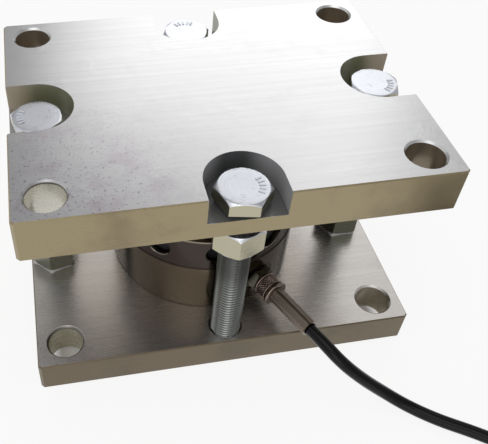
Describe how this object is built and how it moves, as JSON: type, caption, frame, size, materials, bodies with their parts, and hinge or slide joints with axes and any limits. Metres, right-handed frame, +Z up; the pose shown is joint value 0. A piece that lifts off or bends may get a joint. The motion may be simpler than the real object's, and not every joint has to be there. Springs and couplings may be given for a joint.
{
  "type": "load cell weighing module",
  "caption": "Weighing module: a drum-shaped load cell between two steel plates, with four bolts that support and limit the upper plate, and a sealed signal cable.",
  "frame": {"origin": "centre of the base plate's underside", "axes": "+Z up, X along the plates' 200 mm side, -Y towards the front, where the cable leaves"},
  "size_m": [0.342, 0.2691, 0.1265],
  "materials": {
    "plate_steel": "zinc-plated ground steel plate, brushed",
    "cell_steel": "turned stainless steel, semi-polished",
    "cover_steel": "thin stainless cover plate, satin",
    "button_steel": "hardened and polished bearing steel",
    "zinc_steel": "bright zinc-plated steel fastener",
    "dark_screws": "black oxide steel screw",
    "black_potting": "black sealing compound, matt",
    "gauge_foil": "foil strain gauge on an amber carrier",
    "green_board": "glass-fibre board with green coating",
    "brass_spacers": "turned brass spacer",
    "gland_metal": "dark nickel-plated brass, satin",
    "gland_nut_metal": "knurled nickel-plated brass with bright rims",
    "spring_steel": "nickel-plated spring wire, closely wound",
    "seal_rubber": "black sealing rubber",
    "cable_jacket": "glossy black jacket",
    "tie_plastic": "black plastic strap and shrink sleeve",
    "lead_insulation": "coloured insulated leads"
  },
  "bodies": {
    "base": {"base_plate": "plate_steel", "load_cell_body": "cell_steel", "top_cover": "cover_steel", "bottom_cover": "cover_steel", "cell_screws": "dark_screws", "bore_seals": "black_potting", "strain_gauges": "gauge_foil", "terminal_board": "green_board", "board_spacers": "brass_spacers", "board_screws": "zinc_steel", "load_button": "button_steel", "front_support_bolt": "zinc_steel", "back_support_bolt": "zinc_steel", "left_limit_bolt": "zinc_steel", "right_limit_bolt": "zinc_steel", "gland_washer": "gland_metal", "gland_body": "gland_metal", "gland_seal": "seal_rubber", "gland_nut": "gland_nut_metal", "strain_relief_spring": "spring_steel", "cable": "cable_jacket", "cable_coil": "cable_jacket", "coil_ties": "tie_plastic", "cable_sleeve": "tie_plastic", "cable_leads": "lead_insulation"},
    "top": {"top_plate": "plate_steel", "pressure_pad": "button_steel", "pad_screws": "dark_screws"},
    "front_nut": {"front_support_nut": "zinc_steel"},
    "back_nut": {"back_support_nut": "zinc_steel"},
    "left_nut": {"left_lock_nut": "zinc_steel"},
    "right_nut": {"right_lock_nut": "zinc_steel"}
  },
  "joints": [
    {"name": "plate_lift", "type": "slide", "parent": "base", "child": "top", "axis": [0, 0, 1], "range_m": [0, 0.00095]},
    {"name": "front_nut_slide", "type": "slide", "parent": "base", "child": "front_nut", "axis": [0, 0, 1], "range_m": [-0.015, 0.00195]},
    {"name": "back_nut_slide", "type": "slide", "parent": "base", "child": "back_nut", "axis": [0, 0, 1], "range_m": [-0.015, 0.00195]},
    {"name": "left_nut_slide", "type": "slide", "parent": "base", "child": "left_nut", "axis": [0, 0, 1], "range_m": [0, 0.03]},
    {"name": "right_nut_slide", "type": "slide", "parent": "base", "child": "right_nut", "axis": [0, 0, 1], "range_m": [0, 0.03]}
  ]
}
